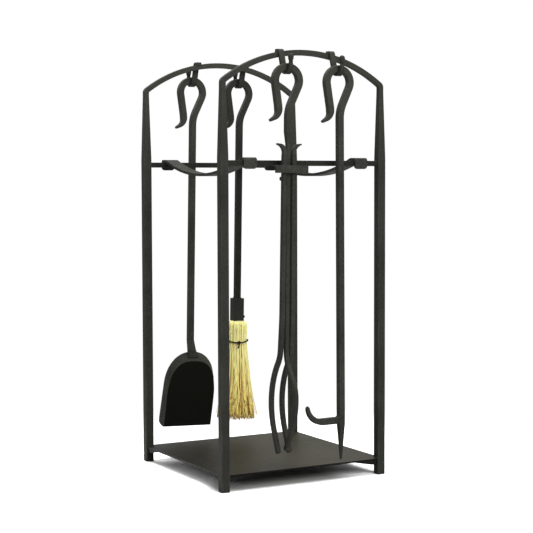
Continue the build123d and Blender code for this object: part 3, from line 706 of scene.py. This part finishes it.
# Binding twine: two dark waxed plies laid together, drawn tight round the straw and knotted.
# The knot sits on the front, and its cut tail hangs from it.
twine_ring = 0.0217
twine_height = 0.2176
twine_tilt = math.radians(-1.0)
ply_radius = 0.00084
ply_thickness = 1.02 * ply_radius
twine_turns = 27
twine_steps = twine_turns * 8
knot_bearing = math.radians(-106.0)
knot_sag = 0.0034
knot_proud = 0.0006
knot_size = 0.0017
knot_width = 0.55
knot_height = 0.62
knot_steps = 30
knot_radius = 0.0012
tail_radius = 0.0013
tail_drops = (
    (0.0, 0.0, 0.0), (0.0008, 0.0012, -0.0014), (0.0006, 0.0024, -0.0040), (-0.0006, 0.0032, -0.0072),
    (-0.0024, 0.0036, -0.0102),
)
twine_black = (0.0045, 0.0042, 0.0036, 1)
twine_brown = (0.018, 0.016, 0.013, 1)


def twine_ply(name, points, closed, thickness):
    """A round ply along points, as a mesh."""
    line = bpy.data.curves.new(name, "CURVE")
    line.dimensions = "3D"
    line.bevel_depth = thickness
    line.bevel_resolution = 2
    line.use_fill_caps = True
    spline = line.splines.new("NURBS")
    spline.points.add(len(points) - 1)
    for slot, point in zip(spline.points, points):
        slot.co = (*point, 1.0)
    spline.use_cyclic_u = closed
    spline.use_endpoint_u = not closed
    spline.order_u = 3
    spline.resolution_u = 2
    holder = bpy.data.objects.new(name, line)
    bpy.context.scene.collection.objects.link(holder)
    bpy.context.view_layer.update()
    ply = bpy.data.meshes.new_from_object(holder.evaluated_get(bpy.context.evaluated_depsgraph_get()))
    bpy.data.objects.remove(holder)
    return ply


twine = bmesh.new()
twine_seat = Matrix.Translation((0, 0, twine_height)) @ Matrix.Rotation(twine_tilt, 4, "Y")
for ply in range(2):
    lay = []
    for step in range(twine_steps):
        bearing = 2 * math.pi * step / twine_steps
        ply_angle = twine_turns * bearing + math.pi * ply
        distance = twine_ring + ply_radius * math.cos(ply_angle)
        sag = knot_sag * max(0.0, math.cos(bearing - knot_bearing)) ** 2
        rise = ply_radius * math.sin(ply_angle) - sag
        lay.append(twine_seat @ Vector((distance * math.cos(bearing), distance * math.sin(bearing), rise)))
    twine.from_mesh(twine_ply("twine_ply", lay, True, ply_thickness))
knot_out = Vector((math.cos(knot_bearing), math.sin(knot_bearing), 0.0))
knot_along = Vector((-knot_out.y, knot_out.x, 0.0))
knot_spot = twine_seat @ (knot_out * (twine_ring + knot_proud) - Vector((0, 0, knot_sag)))
knot_loop = []
for step in range(knot_steps):
    turn = 2 * math.pi * step / knot_steps
    wide = knot_size * (math.sin(turn) + 2 * math.sin(2 * turn)) * knot_width
    tall = knot_size * (math.cos(turn) - 2 * math.cos(2 * turn)) * knot_height
    over = knot_proud * math.sin(3 * turn)
    knot_loop.append(knot_spot + knot_along * wide + Vector((0, 0, tall)) + knot_out * over)
twine.from_mesh(twine_ply("twine_knot", knot_loop, True, knot_radius))
tail_line = []
for along, out, rise in tail_drops:
    tail_line.append(knot_spot + knot_along * along + knot_out * out + Vector((0, 0, rise)))
twine.from_mesh(twine_ply("twine_tail", tail_line, False, tail_radius))
bmesh.ops.transform(twine, matrix=brush_seat, verts=twine.verts)
twine_finish, twine_shader, twine_place = new_finish("waxed_twine")
twine_fibre = twine_place.noise(2200.0, detail=3.0, roughness=0.6)
twine_colour = twine_fibre.between(0.3, 0.7).blend(twine_black, twine_brown)
feed(twine_shader, Base_Color=twine_colour, Roughness=0.55 + twine_fibre * 0.3)
twine_shader.inputs["Specular IOR Level"].default_value = 0.1
twine_piece = finished("waxed_twine", twine, "brush", twine_finish)
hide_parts("binding_twine")

# Tongs: the crook bar runs down into one front tine, and a pin through it carries two jaw rods.
# A flat grip is welded across the rods, and all three tines end in rounded tips.
tongs_lean = 0.65
left_rod_x = -0.00845
right_rod_x = 0.0100
grip_low_z = 0.5457
grip_high_z = 0.5593
grip_seam_y = -0.0062
grip_seam_half = 0.0034
tip_length = 0.010
tip_set_back = 0.0024
tip_arris = 0.0012
tip_round = 0.0026
front_tip = (0.0, -0.00189, 0.0695)
front_heading = (0.0, 0.4695, -0.8829)
front_tip_size = 0.0074
left_rod_tip = (-0.01133, 0.00579, 0.06419)
right_rod_tip = (0.01041, 0.00579, 0.06419)
rod_heading = (0.0, -0.3987, -0.9171)
rod_tip_size = 0.0079
dress(tool_paint, "tongs_handle", "left_jaw_rod", "right_jaw_rod", "tongs_pivot_pin")
grip_paint = graphite_paint(
    "grip_graphite", dark=(0.0250, 0.0257, 0.0212, 1), light=(0.0500, 0.0513, 0.0430, 1), hammered=0.22)
dress(grip_paint, "tongs_crossbar")
tongs_seat = hung(front_left_hook_x, -hang_y, tongs_lean)
grip_seams = []
for rod_x in (left_rod_x, right_rod_x):
    for seam_z in (grip_low_z, grip_high_z):
        seam_start = (rod_x - grip_seam_half, grip_seam_y, seam_z)
        seam_end = (rod_x + grip_seam_half, grip_seam_y, seam_z)
        grip_seams.append((seam_start, seam_end))
weld_runs("tongs_grip_welds", "tongs_jaw", grip_seams, radius=0.0013, finish=tool_paint, seat=tongs_seat)


def round_edges(shape, edges, offset, segments):
    """Bevels some edges of a shape round."""
    bmesh.ops.bevel(shape, geom=edges, offset=offset, segments=segments, profile=0.5, affect="EDGES",
                    material=-1)


def long_edges(shape, least_rise):
    """The edges that rise by more than least_rise."""
    return [edge for edge in shape.edges if abs(edge.verts[0].co.z - edge.verts[1].co.z) > least_rise]


def join(whole, shape):
    """Adds a bmesh to a whole one and frees it."""
    mesh = bpy.data.meshes.new("joined")
    shape.to_mesh(mesh)
    shape.free()
    whole.from_mesh(mesh)


def tine_tips(name, body, tip_spots, heading, size):
    """Rounded ends for tines of one size that head the same way."""
    ends = bmesh.new()
    turn = Vector(heading).to_track_quat("Z", "X").to_matrix().to_4x4()
    for spot in tip_spots:
        end = bmesh.new()
        bmesh.ops.create_cube(end, size=1.0, matrix=Matrix.Diagonal((size, size, tip_length, 1.0)))
        round_edges(end, long_edges(end, tip_length / 2), tip_arris, 3)
        rim_z = 0.49 * tip_length
        rim = [edge for edge in end.edges if min(vert.co.z for vert in edge.verts) > rim_z]
        round_edges(end, rim, tip_round, 5)
        place = tongs_seat @ Matrix.Translation(spot) @ turn @ Matrix.Translation((0, 0, -tip_set_back))
        bmesh.ops.transform(end, matrix=place, verts=end.verts)
        join(ends, end)
    return finished(name, ends, body, tool_paint)


tine_tips("front_tine_tip", "tongs", [front_tip], front_heading, front_tip_size)
tine_tips("jaw_rod_tips", "tongs_jaw", [left_rod_tip, right_rod_tip], rod_heading, rod_tip_size)

# Rod leaves: the top of each jaw rod is drawn out and curled away from the handle.
# It is forged in one with the rod, thick in the crotch of the bend and thin only at its tip.
leaf_root_z = 0.5745
leaf_cuts = 16
leaf_arris = 0.15
outer_thinning = 0.0027
inner_thinning = 0.0035
leaf_narrowing = 0.0018
rod_pivot_z = 0.536
rod_y = -0.0020
rod_half = 0.0041
leaf_rods = ((left_rod_x, 0.35, -1), (right_rod_x, -0.05, 1))
outer_bend = {"rise": 0.0090, "radius": 0.0105, "turn": math.radians(80.0), "run": 0.0060}
inner_bend = {"rise": 0.0030, "radius": 0.0170, "turn": math.radians(66.0), "run": 0.0040}


def beside_bend(share, offset, rise, radius, turn, run):
    """A point beside a line that rises, bends over to the right and runs on.

    share is how far along the line it is, from 0 to 1, and offset how far to the right of it.
    """
    travel = share * (rise + radius * turn + run)
    angle = min(max((travel - rise) / radius, 0.0), turn)
    beyond = max(0.0, travel - rise - radius * turn)
    across = radius * (1.0 - math.cos(angle)) + beyond * math.sin(angle) + offset * math.cos(angle)
    height = min(travel, rise) + radius * math.sin(angle) + beyond * math.cos(angle)
    return Vector((across, 0.0, height - offset * math.sin(angle)))


leaves = bmesh.new()
for rod_x, splay, side in leaf_rods:
    leaf = bmesh.new()
    bmesh.ops.create_cube(leaf, size=1.0, matrix=Matrix.Translation((0, 0, 0.5)))
    round_edges(leaf, long_edges(leaf, 0.5), leaf_arris, 3)
    cut_across(leaf, leaf_cuts)
    for vert in leaf.verts:
        share = vert.co.z
        outer = beside_bend(share, outer_thinning * share - rod_half, **outer_bend)
        inner = beside_bend(share, rod_half - inner_thinning * share, **inner_bend)
        spot = outer.lerp(inner, vert.co.x + 0.5)
        width = 2 * rod_half - leaf_narrowing * share
        vert.co = (side * spot.x, vert.co.y * width, leaf_root_z - rod_pivot_z + spot.z)
    bmesh.ops.recalc_face_normals(leaf, faces=leaf.faces)
    rod_turn = Matrix.Rotation(math.radians(splay), 4, "Y")
    rod_seat = tongs_seat @ Matrix.Translation((rod_x, rod_y, rod_pivot_z)) @ rod_turn
    bmesh.ops.transform(leaf, matrix=rod_seat, verts=leaf.verts)
    join(leaves, leaf)
for face in leaves.faces:
    face.smooth = len(face.verts) == 4
finished("rod_leaves", leaves, "tongs_jaw", tool_paint, smooth=False)

# Floor and light: a white studio floor that keeps the soft shadow under the tray.
# Its colour deepens the shadow under the tray's front and thins it on the left.
# A broad light hangs overhead, another stands high in front and a weak one behind.
floor_half = 9.0
white = (1, 1, 1, 1)
near_white = (1.5, 1.5, 1.5, 1)
open_white = (2.8, 2.8, 2.8, 1)
deep_shade = (0.42, 0.42, 0.41, 1)
lit_grey = (0.55, 0.55, 0.54, 1)
fill_strength = 0.32


def seen_rays(start):
    """1 for what the camera sees, straight, in a mirror or through glass."""
    seen = start.node("ShaderNodeLightPath", None, None, "Is Camera Ray")
    for ray in ("Is Glossy Ray", "Is Transmission Ray"):
        seen = start.math("MAXIMUM", seen, start.node("ShaderNodeLightPath", None, None, ray))
    return seen


floor_shape = bmesh.new()
bmesh.ops.create_grid(floor_shape, x_segments=1, y_segments=1, size=floor_half)
floor_mesh = bpy.data.meshes.new("studio_floor")
floor_shape.to_mesh(floor_mesh)
floor_shape.free()
floor = bpy.data.objects.new("studio_floor", floor_mesh)
bpy.context.scene.collection.objects.link(floor)
floor_finish = bpy.data.materials.new("studio_floor")
floor_finish.use_nodes = True
floor_tree = floor_finish.node_tree
floor_tree.nodes.clear()
floor_start = Flow(floor_tree)
far_floor = floor_start.node("ShaderNodeEmission", None, {"Color": white, "Strength": 1.0})
floor_place = floor_start.node("ShaderNodeTexCoord", None, None, "Object")
floor_x = floor_place.part("X")
floor_y = floor_place.part("Y")
floor_reach = floor_place.node("ShaderNodeVectorMath", {"operation": "LENGTH"}, {0: floor_place}, "Value")
far_share = floor_reach.between(0.35, 0.75)
deep_x = 1.0 - abs(floor_x + 0.03).between(0.09, 0.17)
deep_y = (1.0 - floor_y.between(-0.10, 0.04)) * floor_y.between(-0.172, -0.145)
floor_colour = (deep_x * deep_y).blend(near_white, deep_shade)
open_left = (1.0 - floor_x.between(-0.135, -0.09)) * floor_y.between(-0.14, -0.06)
floor_colour = open_left.blend(floor_colour, open_white)
near_floor = floor_start.node("ShaderNodeBsdfDiffuse", None, {"Color": floor_colour})
seen_floor = floor_start.node("ShaderNodeMixShader", None, {0: far_share, 1: near_floor, 2: far_floor})
lit_floor = floor_start.node("ShaderNodeBsdfDiffuse", None, {"Color": lit_grey})
floor_sides = {0: seen_rays(floor_start), 1: lit_floor, 2: seen_floor}
floor_look = floor_start.node("ShaderNodeMixShader", None, floor_sides)
floor_start.node("ShaderNodeOutputMaterial", None, {"Surface": floor_look})
floor_mesh.materials.append(floor_finish)

studio = bpy.data.worlds.new("studio")
bpy.context.scene.world = studio
studio.use_nodes = True
studio_tree = studio.node_tree
studio_tree.nodes.clear()
studio_start = Flow(studio_tree)
white_air = studio_start.node("ShaderNodeBackground", None, {"Color": white, "Strength": 1.0})
soft_air = studio_start.node("ShaderNodeBackground", None, {"Color": white, "Strength": fill_strength})
studio_sides = {0: seen_rays(studio_start), 1: soft_air, 2: white_air}
studio_air = studio_start.node("ShaderNodeMixShader", None, studio_sides)
studio_start.node("ShaderNodeOutputWorld", None, {"Surface": studio_air})


def soft_light(name, spot, target, size, power):
    """A square soft box at spot that faces target."""
    lamp = bpy.data.lights.new(name, "AREA")
    lamp.size = size
    lamp.energy = power
    holder = bpy.data.objects.new(name, lamp)
    bpy.context.scene.collection.objects.link(holder)
    facing = Vector(target) - Vector(spot)
    turn = facing.to_track_quat("-Z", "Y").to_matrix().to_4x4()
    holder.matrix_world = Matrix.Translation(spot) @ turn


soft_light("overhead_light", spot=(0.1, -0.2, 2.6), target=(0.0, 0.0, 0.3), size=1.5, power=42.0)
soft_light("front_light", spot=(0.4, -8.0, 5.2), target=(0.0, 0.0, 0.40), size=4.8, power=650.0)
soft_light("rear_light", spot=(-0.6, 4.0, 2.4), target=(0.0, 0.0, 0.40), size=2.4, power=64.0)

bpy.context.scene.view_settings.view_transform = "Standard"
